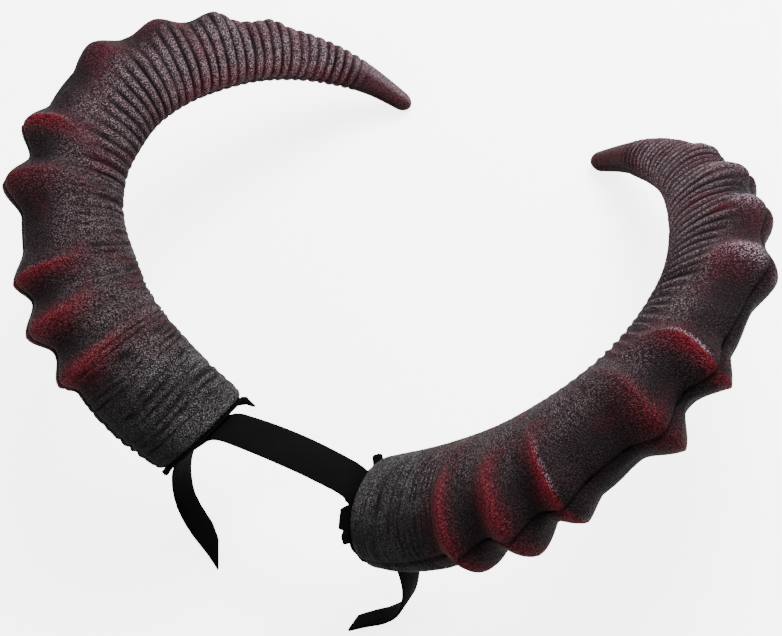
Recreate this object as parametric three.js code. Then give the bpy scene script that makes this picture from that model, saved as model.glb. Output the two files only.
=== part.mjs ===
// Ibex horn headband: two curled foam horns on a fabric covered hoop.
// Millimetres and degrees. It is built as worn, with the hoop upright in the XZ plane, the wearer
// facing -Y and the horns curling back towards +Y, and is then laid down so that the two ends of
// the hoop and the two horn tips touch the table at z = 0.

import * as THREE from 'three';

// Horns: each is pressed from foam sheet in two halves that meet in the plane of the curl
const HORN_LENGTH = 576;       // along the middle line, from the base to the tip
const HORN_BASE_WIDTH = 85;    // across the base, in the plane of the curl
const HORN_BASE_DEPTH = 60;    // across the base, square to that plane
const HORN_CURL = 164;         // how far the middle line turns from the base to the tip
const HORN_WALL = 3;           // thickness of the foam
const TIP_ROUND = 9;           // length of the rounded end
const TIP_SOLID = 22;          // foam between the end of the hollow and the tip
const SEAM_GAP = 0.3;          // between the two halves
const KNOB_HEIGHT = 15;        // the tallest knob, over the horn beside it
const KNOB_TOP = 16;           // how far round from the seam a knob keeps its full height
const KNOB_REACH = 120;        // how far round from the seam a knob still shows
const SECTION_POWER = 2.15;    // 2 is an ellipse, more is squarer

// Hoop: one strip that narrows towards its two ends, which are cut square
const BAND_WIDTH = 31.5;       // at the crown
const BAND_END_WIDTH = 16;
const BAND_TAPER = 1.6;        // 1 narrows evenly, more keeps the width for longer
const BAND_THICKNESS = 2.4;
const HOOP_SEAT = 34;          // straight stretch under each horn
const HOOP_END = 20;           // straight stretch at each end
const HOOP_SWEEP = 15.5;       // how far the two ends stand forward of the crown
const SWEEP_CURVE = 4;         // 1 leans evenly from the seat down, more only near the end
const HOOP_ARCS = {
  crown: { radius: 349, turn: 7.4 },
  shoulder: { radius: 27, turn: 43.4 },
  side: { radius: 77, turn: 50.4 },
  foot: { radius: 42, turn: 48.4 },
};

// Base plates: soft discs glued between the hoop and the open ends of the horns
const PLATE_THICKNESS = 2.5;
const PLATE_MARGIN = 2;        // how far a plate shows past the horn
const GLUE_GAP = 0.3;

// How a horn stands on its seat
const HORN_ROLL = 13;          // the plane of the curl, turned about the base of the horn

// Sections along a horn. at is the share of HORN_LENGTH, curl the share of HORN_CURL reached there,
// outside and inside the half widths from the middle line to the knobbed edge and to the hollow
// edge as shares of half HORN_BASE_WIDTH, depth the share of HORN_BASE_DEPTH.
const SECTIONS = [
  { at: 0.00, curl: 0.00, outside: 0.96, inside: 1.00, depth: 0.94 },
  { at: 0.06, curl: -0.01, outside: 1.11, inside: 0.95, depth: 1.03 },
  { at: 0.12, curl: 0.01, outside: 1.11, inside: 0.95, depth: 1.07 },
  { at: 0.18, curl: 0.06, outside: 1.00, inside: 0.96, depth: 1.09 },
  { at: 0.25, curl: 0.168, outside: 0.94, inside: 0.98, depth: 1.02 },
  { at: 0.32, curl: 0.238, outside: 0.86, inside: 0.89, depth: 0.99 },
  { at: 0.40, curl: 0.342, outside: 0.82, inside: 0.88, depth: 0.90 },
  { at: 0.48, curl: 0.45, outside: 0.82, inside: 0.93, depth: 0.79 },
  { at: 0.56, curl: 0.589, outside: 0.78, inside: 0.86, depth: 0.72 },
  { at: 0.64, curl: 0.68, outside: 0.75, inside: 0.73, depth: 0.69 },
  { at: 0.72, curl: 0.731, outside: 0.63, inside: 0.60, depth: 0.66 },
  { at: 0.80, curl: 0.809, outside: 0.51, inside: 0.49, depth: 0.61 },
  { at: 0.88, curl: 0.894, outside: 0.36, inside: 0.37, depth: 0.50 },
  { at: 0.94, curl: 0.965, outside: 0.24, inside: 0.23, depth: 0.37 },
  { at: 1.00, curl: 1.00, outside: 0.15, inside: 0.15, depth: 0.24 },
];

// Knobs along the outer edge. at is the share of HORN_LENGTH at the crest, height the share of
// KNOB_HEIGHT, rise and fall the lengths of the two slopes as shares of HORN_LENGTH.
const KNOBS = [
  { at: 0.156, height: 0.60, rise: 0.020, fall: 0.028 },
  { at: 0.209, height: 0.81, rise: 0.025, fall: 0.027 },
  { at: 0.258, height: 0.65, rise: 0.022, fall: 0.034 },
  { at: 0.362, height: 1.00, rise: 0.034, fall: 0.032 },
  { at: 0.426, height: 0.79, rise: 0.030, fall: 0.030 },
  { at: 0.536, height: 0.60, rise: 0.036, fall: 0.036 },
  { at: 0.616, height: 0.42, rise: 0.036, fall: 0.036 },
  { at: 0.694, height: 0.48, rise: 0.038, fall: 0.032 },
  { at: 0.770, height: 0.26, rise: 0.030, fall: 0.030 },
];

const STEPS_ROUND = 8;         // facets round one half of a horn
const PLATE_STEPS = 40;
const BASE_STATIONS = [0, 0.035, 0.07, 0.105];
const BETWEEN_STATIONS = [0.31, 0.484];
const TIP_STATIONS = [0.84, 0.88, 0.92, 0.95, 0.975];

const FOAM = new THREE.MeshStandardMaterial({ color: 0x3a2427, roughness: 0.62, metalness: 0 });
const FELT = new THREE.MeshStandardMaterial({ color: 0x0b0b0c, roughness: 0.95, metalness: 0 });
const BAND_CLOTH = new THREE.MeshStandardMaterial({ color: 0x0d0d0f, roughness: 0.9, metalness: 0 });

const radians = THREE.MathUtils.degToRad;

// A column of a table at any share, on a smooth curve through its rows
function sample(rows, column, share) {
  const last = rows.length - 1;
  let i = 0;
  while (i < last - 1 && share > rows[i + 1].at) i += 1;
  const slopeAt = (k) => {
    const before = rows[Math.max(k - 1, 0)];
    const after = rows[Math.min(k + 1, last)];
    return (after[column] - before[column]) / (after.at - before.at);
  };
  const span = rows[i + 1].at - rows[i].at;
  const t = (share - rows[i].at) / span;
  const start = rows[i][column] * (1 + 2 * t) * (1 - t) ** 2 + span * slopeAt(i) * t * (1 - t) ** 2;
  const end = rows[i + 1][column] * t * t * (3 - 2 * t) + span * slopeAt(i + 1) * t * t * (t - 1);
  return start + end;
}

// The middle line of a horn, walked in short steps: x along the base axis, y into the curl
function walkMiddleLine(steps) {
  const stride = HORN_LENGTH / steps;
  const points = [new THREE.Vector2(0, 0)];
  for (let i = 0; i < steps; i += 1) {
    const heading = radians(HORN_CURL * sample(SECTIONS, 'curl', (i + 0.5) / steps));
    const step = new THREE.Vector2(Math.cos(heading), Math.sin(heading)).multiplyScalar(stride);
    points.push(points[i].clone().add(step));
  }
  return points;
}

const MIDDLE_STEPS = 290;
const MIDDLE_LINE = walkMiddleLine(MIDDLE_STEPS);

function middleAt(share) {
  const place = Math.min(Math.max(share, 0), 1) * MIDDLE_STEPS;
  const i = Math.min(Math.floor(place), MIDDLE_STEPS - 1);
  return MIDDLE_LINE[i].clone().lerp(MIDDLE_LINE[i + 1], place - i);
}

// How much a knob lifts the skin: a rounded crest along the horn, fading round the flank
function knobLift(share, angle) {
  let lift = 0;
  for (const knob of KNOBS) {
    const slope = share < knob.at ? knob.rise : knob.fall;
    const away = Math.abs(share - knob.at) / slope;
    if (away < 1) lift += knob.height * (0.5 + 0.5 * Math.cos(Math.PI * away));
  }
  const beyondTop = (THREE.MathUtils.radToDeg(angle) - KNOB_TOP) / (KNOB_REACH - KNOB_TOP);
  const round = THREE.MathUtils.clamp(beyondTop, 0, 1);
  return KNOB_HEIGHT * lift * (0.5 + 0.5 * Math.cos(Math.PI * round));
}

// The radius shrinks to nothing over the rounded end
function tipShrink(share) {
  const intoTip = (share - 1) * HORN_LENGTH / TIP_ROUND + 1;
  return intoTip > 0 ? Math.sqrt(Math.max(1 - intoTip * intoTip, 0)) : 1;
}

// A point of the outer skin. angle runs from 0 at the knobbed edge to pi at the hollow edge.
function skinPoint(share, angle) {
  const heading = radians(HORN_CURL * sample(SECTIONS, 'curl', share));
  const shrink = tipShrink(share);
  const cos = Math.cos(angle);
  const edge = cos > 0 ? 'outside' : 'inside';
  const halfWidth = sample(SECTIONS, edge, share) * HORN_BASE_WIDTH / 2;
  const halfDepth = sample(SECTIONS, 'depth', share) * HORN_BASE_DEPTH / 2;
  const power = 2 / SECTION_POWER;
  const lift = knobLift(share, angle);
  const across = Math.sign(cos) * Math.abs(cos) ** power * halfWidth * shrink + cos * lift;
  const deep = Math.sin(angle) ** power * halfDepth * shrink + Math.sin(angle) * lift;
  const middle = middleAt(share);
  return new THREE.Vector3(
    middle.x + Math.sin(heading) * across,
    middle.y - Math.cos(heading) * across,
    SEAM_GAP / 2 + deep,
  );
}

// The skin moved in by the wall, staying in the plane of the seam along both edges
function liningPoint(share, angle) {
  const nudge = 0.004;
  const turn = 0.05;
  const low = Math.max(angle - turn, 0);
  const high = Math.min(angle + turn, Math.PI);
  const along = skinPoint(share + nudge, angle).sub(skinPoint(Math.max(share - nudge, 0), angle));
  const round = skinPoint(share, high).sub(skinPoint(share, low));
  const inward = new THREE.Vector3().crossVectors(round, along);
  if (angle === 0 || angle === Math.PI) inward.z = 0;
  inward.setLength(HORN_WALL);
  if (share === 0) inward.x = 0;
  return skinPoint(share, angle).add(inward);
}

// Where the sections of the model lie: five to a knob, fewer where the horn is plain
function hornStations() {
  const found = [...BASE_STATIONS, ...BETWEEN_STATIONS, ...TIP_STATIONS];
  for (const knob of KNOBS) {
    found.push(knob.at - knob.rise, knob.at - knob.rise / 2, knob.at);
    found.push(knob.at + knob.fall / 2, knob.at + knob.fall);
  }
  found.sort((a, b) => a - b);
  const apart = 0.006;
  const kept = found.filter((share, i) => i === 0 || share - found[i - 1] > apart);
  const roundStart = 1 - TIP_ROUND / HORN_LENGTH;
  return [...kept, roundStart, 1 - 0.3 * TIP_ROUND / HORN_LENGTH];
}

// One half of a horn as a closed trough: skin, lining, the two seam edges, the rim and the tip.
// side is +1 for the half over the plane of the curl and -1 for the one under it.
function hornHalf(side) {
  const outerStations = hornStations();
  const hollowEnd = 1 - TIP_SOLID / HORN_LENGTH;
  const innerStations = outerStations.filter((share) => share < hollowEnd - 0.01);
  const angles = Array.from({ length: STEPS_ROUND + 1 }, (_, j) => Math.PI * j / STEPS_ROUND);
  const points = [];
  const addRows = (stations, makePoint) => {
    const first = points.length;
    for (const share of stations) {
      for (const angle of angles) points.push(makePoint(share, angle));
    }
    return (i, j) => first + i * angles.length + j;
  };
  const skin = addRows(outerStations, skinPoint);
  const lining = addRows(innerStations, liningPoint);
  const tip = points.length;
  const tipPlace = middleAt(1);
  points.push(new THREE.Vector3(tipPlace.x, tipPlace.y, SEAM_GAP / 2));
  const hollowTip = points.length;
  const hollowPlace = middleAt(hollowEnd);
  points.push(new THREE.Vector3(hollowPlace.x, hollowPlace.y, SEAM_GAP / 2));

  const faces = [];
  const addQuad = (a, b, c, d) => faces.push([a, b, c], [a, c, d]);
  const addSheet = (grid, rows, pole, flip) => {
    for (let j = 0; j < STEPS_ROUND; j += 1) {
      for (let i = 0; i < rows - 1; i += 1) {
        const corners = [grid(i, j), grid(i, j + 1), grid(i + 1, j + 1), grid(i + 1, j)];
        if (flip) corners.reverse();
        addQuad(...corners);
      }
      const end = [grid(rows - 1, j), grid(rows - 1, j + 1), pole];
      faces.push(flip ? end.reverse() : end);
    }
  };
  const outerRows = outerStations.length;
  const innerRows = innerStations.length;
  addSheet(skin, outerRows, tip, true);
  addSheet(lining, innerRows, hollowTip, false);

  // The seam edges, from the rim to the end of the hollow and on to the tip
  const addSeam = (j, flip) => {
    const push = (face) => faces.push(flip ? [...face].reverse() : face);
    for (let i = 0; i < innerRows - 1; i += 1) {
      push([skin(i, j), skin(i + 1, j), lining(i + 1, j)]);
      push([skin(i, j), lining(i + 1, j), lining(i, j)]);
    }
    push([skin(innerRows - 1, j), hollowTip, lining(innerRows - 1, j)]);
    for (let i = innerRows - 1; i < outerRows - 1; i += 1) {
      push([skin(i, j), skin(i + 1, j), hollowTip]);
    }
    push([skin(outerRows - 1, j), tip, hollowTip]);
  };
  addSeam(0, true);
  addSeam(STEPS_ROUND, false);
  for (let j = 0; j < STEPS_ROUND; j += 1) {
    addQuad(skin(0, j), skin(0, j + 1), lining(0, j + 1), lining(0, j));
  }

  const geometry = new THREE.BufferGeometry();
  const flat = points.flatMap((point) => [point.x, point.y, point.z * side]);
  geometry.setAttribute('position', new THREE.Float32BufferAttribute(flat, 3));
  geometry.setIndex(faces.flatMap((face) => (side > 0 ? face : [...face].reverse())));
  geometry.computeVertexNormals();
  return geometry;
}

// A disc with the outline of the open end of a horn and its margin, lying under that end
function basePlate() {
  const corners = [];
  for (let i = 0; i < PLATE_STEPS; i += 1) {
    const angle = 2 * Math.PI * i / PLATE_STEPS;
    const rim = skinPoint(0, Math.min(angle, 2 * Math.PI - angle));
    const across = rim.y;
    const deep = angle > Math.PI ? -rim.z : rim.z;
    const reach = Math.hypot(across, deep);
    const grow = (reach + PLATE_MARGIN) / reach;
    corners.push(new THREE.Vector2(across * grow, deep * grow));
  }
  const disc = new THREE.ExtrudeGeometry(new THREE.Shape(corners), {
    depth: PLATE_THICKNESS,
    bevelEnabled: false,
  });
  disc.rotateZ(Math.PI / 2);
  disc.rotateY(-Math.PI / 2);
  return disc;
}

// Half of the hoop's middle line from the crown down: place, the way it heads and the length so far
function hoopHalf() {
  const { crown, shoulder, side, foot } = HOOP_ARCS;
  const route = [];
  let place = new THREE.Vector2(0, 0);
  let heading = 0;
  let run = 0;
  const mark = () => route.push({ place: place.clone(), heading, run });
  const advance = (way, length) => {
    place = place.clone().add(new THREE.Vector2(Math.cos(way), -Math.sin(way)).multiplyScalar(length));
    run += length;
  };
  const runArc = ({ radius, turn }) => {
    const steps = Math.ceil(turn / 7.5);
    const bend = radians(turn) / steps;
    for (let i = 0; i < steps; i += 1) {
      advance(heading + bend / 2, 2 * radius * Math.sin(bend / 2));
      heading += bend;
      mark();
    }
  };
  mark();
  runArc(crown);
  runArc(shoulder);
  advance(heading, HOOP_SEAT / 2);
  const seat = { place: place.clone(), heading };
  advance(heading, HOOP_SEAT / 2);
  mark();
  const seatEnd = run;
  runArc(side);
  runArc(foot);
  advance(heading, HOOP_END / 2);
  mark();
  advance(heading, HOOP_END / 2);
  mark();
  return { route, seat, seatEnd, length: run };
}

const HOOP = hoopHalf();

// The strip, four corners at each stop of the route, closed by a square cut at both ends
function hoopBand() {
  const corners = ({ place, heading, run }, mirror) => {
    const taper = (run / HOOP.length) ** BAND_TAPER;
    const half = THREE.MathUtils.lerp(BAND_WIDTH, BAND_END_WIDTH, taper) / 2;
    const beyondSeat = Math.max(run - HOOP.seatEnd, 0) / (HOOP.length - HOOP.seatEnd);
    const sweep = HOOP_SWEEP * beyondSeat ** SWEEP_CURVE;
    const out = new THREE.Vector2(mirror * Math.sin(heading), Math.cos(heading));
    const corner = (side, face) => {
      const off = out.clone().multiplyScalar(face * BAND_THICKNESS / 2);
      return [mirror * place.x + off.x, side * half - sweep, place.y + off.y];
    };
    return [corner(-1, 1), corner(1, 1), corner(1, -1), corner(-1, -1)];
  };
  const down = HOOP.route;
  const up = [...down].reverse().slice(0, -1);
  const rings = [...up.map((stop) => corners(stop, -1)), ...down.map((stop) => corners(stop, 1))];
  const faces = [[0, 1, 2], [0, 2, 3]];
  for (let i = 0; i < rings.length - 1; i += 1) {
    for (let j = 0; j < 4; j += 1) {
      const [a, b] = [4 * i + j, 4 * i + (j + 1) % 4];
      faces.push([a, a + 4, b + 4], [a, b + 4, b]);
    }
  }
  const last = 4 * (rings.length - 1);
  faces.push([last, last + 2, last + 1], [last, last + 3, last + 2]);
  const strip = new THREE.BufferGeometry();
  strip.setAttribute('position', new THREE.Float32BufferAttribute(rings.flat(2), 3));
  strip.setIndex(faces.flat());
  strip.computeVertexNormals();
  return strip;
}

function named(name, geometry, material) {
  const mesh = new THREE.Mesh(geometry, material);
  mesh.name = name;
  return mesh;
}

// One horn with its base plate, standing on the seat of the hoop. side is -1 on the left.
function hornOnSeat(label, side) {
  const { place, heading } = HOOP.seat;
  const outward = new THREE.Vector3(side * Math.sin(heading), 0, Math.cos(heading));
  const upSlope = new THREE.Vector3(-side * Math.cos(heading), 0, Math.sin(heading));
  const roll = radians(HORN_ROLL);
  const curlWay = new THREE.Vector3(0, Math.cos(roll), 0).addScaledVector(upSlope, Math.sin(roll));
  const normal = new THREE.Vector3().crossVectors(outward, curlWay);

  const horn = new THREE.Group();
  const upper = side > 0 ? 1 : -1;
  horn.add(named(`horn_${label}_upper_half`, hornHalf(upper), FOAM));
  horn.add(named(`horn_${label}_lower_half`, hornHalf(-upper), FOAM));
  const plate = named(`base_plate_${label}`, basePlate(), FELT);
  plate.position.x = -GLUE_GAP;
  horn.add(plate);

  const stackHeight = BAND_THICKNESS / 2 + GLUE_GAP + PLATE_THICKNESS + GLUE_GAP;
  horn.setRotationFromMatrix(new THREE.Matrix4().makeBasis(outward, curlWay, normal));
  horn.position.set(side * place.x, 0, place.y).addScaledVector(outward, stackHeight);
  return horn;
}

// How far the whole thing leans back when it lies on the hoop's two ends and the two horn tips
function restingLean(band, horn) {
  const collect = (root) => {
    root.updateWorldMatrix(true, true);
    const spots = [];
    root.traverse((mesh) => {
      if (!mesh.isMesh) return;
      const corners = mesh.geometry.getAttribute('position');
      for (let i = 0; i < corners.count; i += 1) {
        spots.push(new THREE.Vector3().fromBufferAttribute(corners, i).applyMatrix4(mesh.matrixWorld));
      }
    });
    return spots;
  };
  const bandSpots = collect(band);
  const hornSpots = collect(horn);
  const lowest = (spots, lean) => {
    let least = Infinity;
    for (const spot of spots) least = Math.min(least, spot.z * Math.cos(lean) - spot.y * Math.sin(lean));
    return least;
  };
  let upright = 0;
  let flat = Math.PI / 2;
  for (let i = 0; i < 40; i += 1) {
    const middle = (upright + flat) / 2;
    if (lowest(hornSpots, middle) > lowest(bandSpots, middle)) upright = middle;
    else flat = middle;
  }
  return flat;
}

const band = named('headband', hoopBand(), BAND_CLOTH);
const leftHorn = hornOnSeat('left', -1);
const rightHorn = hornOnSeat('right', 1);

const headpiece = new THREE.Group();
headpiece.add(band, leftHorn, rightHorn);
headpiece.rotation.x = -restingLean(band, leftHorn);

// The origin is under the middle of the whole thing, on the table
const box = new THREE.Box3().setFromObject(headpiece, true);
headpiece.position.set(0, -(box.min.y + box.max.y) / 2, -box.min.z);

const model = new THREE.Group();
model.add(headpiece);
model.updateMatrixWorld(true);

export default model;
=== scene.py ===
from collections import namedtuple
import math

import bpy
import numpy as np
from mathutils import Matrix, Vector


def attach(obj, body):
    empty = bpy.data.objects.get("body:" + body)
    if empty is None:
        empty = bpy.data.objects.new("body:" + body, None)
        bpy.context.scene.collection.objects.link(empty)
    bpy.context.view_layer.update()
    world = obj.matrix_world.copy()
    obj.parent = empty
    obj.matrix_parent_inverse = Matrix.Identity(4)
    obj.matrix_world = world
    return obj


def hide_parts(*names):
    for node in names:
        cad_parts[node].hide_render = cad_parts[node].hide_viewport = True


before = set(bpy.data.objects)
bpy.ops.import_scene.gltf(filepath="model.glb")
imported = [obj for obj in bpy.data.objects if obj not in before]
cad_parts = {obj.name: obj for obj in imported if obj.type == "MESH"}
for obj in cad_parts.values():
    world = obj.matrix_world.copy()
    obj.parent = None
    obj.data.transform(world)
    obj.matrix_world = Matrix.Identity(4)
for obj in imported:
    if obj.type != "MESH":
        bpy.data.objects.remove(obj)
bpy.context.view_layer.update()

MM = 0.001
SIDES = {"left": -1, "right": 1}

# How the whole thing lies on the table, from its place on the head
LEAN_BACK = 33.19141
STAND = Vector((0.0, -0.117804, 0.114568))

# Horns
HORN_LENGTH = 576.0
HORN_BASE_WIDTH = 85.0
HORN_BASE_DEPTH = 60.0
HORN_CURL = 164.0
HORN_WALL = 3.0
HORN_ROLL = 13.0
HORN_FOOT = (76.4724, -23.0734)  # middle of the base: across and up, as worn
TIP_ROUND = 9.0
TIP_SOLID = 22.0
SEAM_GAP = 0.3
SECTION_POWER = 2.15
SEAT_SLOPE = 50.8

# Along a horn: share of the length, share of the curl, half widths to the knobbed edge and to
# the hollow edge as shares of half the base width, and depth as a share of the base depth
SECTIONS = np.array([
    (0.00, 0.00, 0.96, 1.00, 0.94),
    (0.06, -0.01, 1.11, 0.95, 1.03),
    (0.12, 0.01, 1.11, 0.95, 1.07),
    (0.18, 0.06, 1.00, 0.96, 1.09),
    (0.25, 0.168, 0.94, 0.98, 1.02),
    (0.32, 0.238, 0.86, 0.89, 0.99),
    (0.40, 0.342, 0.82, 0.88, 0.90),
    (0.48, 0.45, 0.82, 0.93, 0.79),
    (0.56, 0.589, 0.78, 0.86, 0.72),
    (0.64, 0.68, 0.75, 0.73, 0.69),
    (0.72, 0.731, 0.63, 0.60, 0.66),
    (0.80, 0.809, 0.51, 0.49, 0.61),
    (0.88, 0.894, 0.36, 0.37, 0.50),
    (0.94, 0.965, 0.24, 0.23, 0.37),
    (1.00, 1.00, 0.15, 0.15, 0.24),
])
CURL, OUTSIDE, INSIDE, DEPTH = 1, 2, 3, 4

# Knobs along the outer edge. at, rise, fall, lean, hook and red_width are shares of the horn's
# length: the crest's place, how far it slopes to the base and to the tip, how far the ridge leans
# to the tip by 90 degrees round, how far its far end bends back to the base by then, and the
# measure that the width of its red paint follows. height is a share of KNOB_HEIGHT, crisp runs
# from a round crest at 0 to a sharp one at 1, scoop is the depth of the hollow on the base side in
# millimetres, red is the strength of the paint, and reach and red_reach are degrees round from
# the seam.
Knob = namedtuple("Knob", "at height rise fall crisp reach lean hook scoop red red_width red_reach")
KNOBS = (
    Knob(0.156, 0.60, 0.020, 0.028, 0.50, 128, 0.004, 0.000, 1.0, 0.85, 0.0130, 108),
    Knob(0.209, 0.81, 0.025, 0.027, 0.50, 124, 0.006, 0.000, 1.2, 0.75, 0.0120, 100),
    Knob(0.258, 0.65, 0.022, 0.034, 0.85, 120, 0.008, 0.000, 1.6, 1.00, 0.0065, 92),
    Knob(0.362, 1.00, 0.034, 0.032, 0.60, 120, 0.010, 0.010, 1.6, 0.42, 0.0120, 90),
    Knob(0.426, 0.79, 0.030, 0.030, 1.00, 112, 0.012, 0.026, 2.6, 1.00, 0.0058, 86),
    Knob(0.536, 0.60, 0.036, 0.036, 0.60, 108, 0.004, 0.012, 1.6, 0.18, 0.0120, 76),
    Knob(0.616, 0.42, 0.036, 0.036, 0.50, 104, 0.004, 0.008, 1.8, 0.14, 0.0100, 54),
    Knob(0.694, 0.48, 0.038, 0.032, 0.50, 100, 0.003, 0.005, 1.4, 0.14, 0.0100, 50),
    Knob(0.770, 0.26, 0.030, 0.030, 0.20, 96, 0.002, 0.000, 0.0, 0.14, 0.0090, 40),
)
KNOB_HEIGHT = 15.0
KNOB_TOP = 16.0  # degrees round from the seam at full height
KNOB_SPLIT = 0.05  # share of a knob that is missing right at the seam
KNOB_SPLIT_REACH = 7.0
HOOK_START = 45.0  # degrees round where a ridge starts to bend back
HOOK_LIMIT = 1.3  # the most it has bent since, where 90 degrees round makes 1
FLANK = (12, 45)  # degrees round over which a crisp crest sharpens
CREST_POWER = 1.15  # of a sharp crest's slopes, 1 being straight
CREST_POWER_FLANK = 0.85  # added to it on the base side of a crisp knob's flank
CRISP_AT_SEAM = 0.4  # share of its crispness that a crest has at the seam
FALL_SHORTENED = 0.4  # share of the tip side's slope that a crisp flank loses
SCOOP_PLACE = 1.2  # how far the scoop is from the crest, in times the rise
SCOOP_LENGTH = 0.55  # half its length, in times the rise
SCOOP_SPAN = (8, 28, 58, 92)  # degrees round

# Surface of a horn
SEAM_DEPTH = 1.6  # groove along the seam
SEAM_SOFTNESS = 1.9
SEAM_END = 0.97  # share of the length where the groove starts to run out
RIM_ROUND = 6.0  # rounding of the open end of a horn
RIM_TURN = 0.8  # how much of a full quarter turn it makes
STATION_STEP = 0.85
TIP_ROWS = (8, 84, 11)  # rows round the tip: first and last in degrees, and how many
ROUND_STEPS = 64
SEAM_CROWDING = 0.72  # 0 spreads points evenly round, more crowds them at the seam
LINING_STEP = 12.0
LINING_ROUNDS = 12
LINING_SHORT = 0.01  # share of the length between the lining's last row and its end
HORN_SHARP, FELT_SHARP, STRIP_SHARP = 55, 50, 60  # edges sharper than this stay sharp

# Paint of each horn as the photo shows it, strengths from 0 to 1: red on the hollow side, a broad
# painted sheen on the crests near the tip, the strength of all painted highlights on the crests,
# how even the speckle is over the ribs, creases on the middle part, and the pale speckle on the
# middle part, a dusting that is partly painted light, with the share of the length where that
# starts. The last is how many times as much pale speckle the tip has.
Look = namedtuple("Look", "hollow_red frosted worn evenness creases dust_start dust end_dust")
LOOKS = {
    "left": Look(0.60, 0.0, 0.3, 0.25, 0.80, 0.16, 0.74, 1.9),
    "right": Look(0.18, 0.9, 0.8, 0.75, 0.35, 0.05, 0.52, 0.35),
}

# Single dabs of red near the tip: share of the length, degrees round from the seam, strength
DABS = {
    "left": ((0.640, 30, 0.85), (0.714, 32, 0.60), (0.536, 48, 0.20)),
    "right": ((0.534, 66, 0.45), (0.612, 62, 0.50), (0.690, 56, 0.25)),
}
DAB_LENGTH = 0.009
DAB_DEGREES = 15.0

# Red on a crest is wider on its base side, and a crisp crest has even more of it there
RED_TO_BASE = (1.25, 0.3)  # times red_width: for a round crest, and added for a crisp one
RED_TO_TIP = (1, -0.6)
TRAIL_RED = 0.24  # between the first two knobs, on the flank
TIP_RED = 0.30

# Painted highlights: a thin line on the tip side of the crisp crests, and a broad painted sheen on the
# crests near the tip
HIGHLIGHT_PLACE, HIGHLIGHT_WIDTH = 0.0036, 0.0017  # shares of the length, from the crest
SHEEN_PLACE, SHEEN_WIDTH = 0.004, 0.011
SHEEN_START = 0.5  # share of the length past which the crests get the painted sheen
HIGHLIGHT_CRISPNESS = 6  # power that keeps the thin painted highlight to the crispest crests

# Sooty dark paint together with painted shade: in the hollows on both sides of each knob, on the outer edge
# and along the seam
SOOT_AND_SHADE_TO_BASE = (1.15, 0.7, 1.0)  # place and half length in times the slope's, and strength
SOOT_AND_SHADE_TO_TIP = (1.3, 0.6, 0.6)
KNOB_SOOT_AND_SHADE, EDGE_SOOT_AND_SHADE, SEAM_SOOT_AND_SHADE = 0.85, 0.7, 0.9
SOOT_AND_SHADE_UNDER_RED = 0.85  # share of the sooty dark and painted shade that red paint covers

# Hoop
BAND_WIDTH = 31.5
BAND_END_WIDTH = 16.0
BAND_TAPER = 1.6
BAND_THICKNESS = 2.4
HOOP_SEAT = 34.0
HOOP_END = 20.0
HOOP_SWEEP = 15.5
SWEEP_CURVE = 4
HOOP_ARCS = ((349.0, 7.4), (27.0, 43.4), (77.0, 50.4), (42.0, 48.4))
ARC_STEP = 2.0
STRAIGHT_STEPS = 8
BAND_EDGE_ROUND = 0.9
BAND_CORNER = (75, 45, 15)  # degrees of the points round a corner of the section
BAND_EDGE_WANDER = 0.35
LEFT_END_CUT = 7.6  # the left end is askew: each edge moves this far, in turn
LEFT_END_BEND = 26.0  # length over which the cut builds up
LEFT_END_DRIFT = 4.8  # how far the edge on the side of the curl widens there
LEFT_END_DRIFT_BEND = 59.8

# Base plates
PLATE_THICKNESS = 2.5
GLUE_GAP = 0.3


def smooth_column(column, share):
    """A column of SECTIONS at any share, on a smooth curve through its rows."""
    at = SECTIONS[:, 0]
    value = SECTIONS[:, column]
    slope = np.empty_like(value)
    slope[1:-1] = (value[2:] - value[:-2]) / (at[2:] - at[:-2])
    slope[0] = (value[1] - value[0]) / (at[1] - at[0])
    slope[-1] = (value[-1] - value[-2]) / (at[-1] - at[-2])
    i = np.clip(np.searchsorted(at, share) - 1, 0, len(at) - 2)
    gap = at[i + 1] - at[i]
    t = (share - at[i]) / gap
    start = value[i] * (1 + 2 * t) * (1 - t) ** 2 + gap * slope[i] * t * (1 - t) ** 2
    end = value[i + 1] * t * t * (3 - 2 * t) + gap * slope[i + 1] * t * t * (t - 1)
    return start + end


def fade(value, start, end):
    """Smoothly from 0 at start to 1 at end, either way round."""
    t = np.clip((value - start) / (end - start), 0, 1)
    return t * t * (3 - 2 * t)


def span(value, start, full, ebb, end):
    """1 from full to ebb, smoothly down to 0 at start and at end."""
    return fade(value, start, full) * fade(value, end, ebb)


MIDDLE_STEPS = 2880
middle_turn = smooth_column(CURL, (np.arange(MIDDLE_STEPS) + 0.5) / MIDDLE_STEPS)
middle_heading = np.radians(HORN_CURL * middle_turn)
middle_share = np.arange(MIDDLE_STEPS + 1) / MIDDLE_STEPS
middle_x = np.concatenate([[0], np.cumsum(np.cos(middle_heading))]) * HORN_LENGTH / MIDDLE_STEPS
middle_y = np.concatenate([[0], np.cumsum(np.sin(middle_heading))]) * HORN_LENGTH / MIDDLE_STEPS


def ridge_line(knob, degrees):
    """Where along the horn a knob's crest runs, that many degrees round from the seam."""
    bent = np.clip((degrees - HOOK_START) / (90 - HOOK_START), 0, HOOK_LIMIT)
    return knob.at + knob.lean * degrees / 90 - knob.hook * bent ** 2


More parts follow.
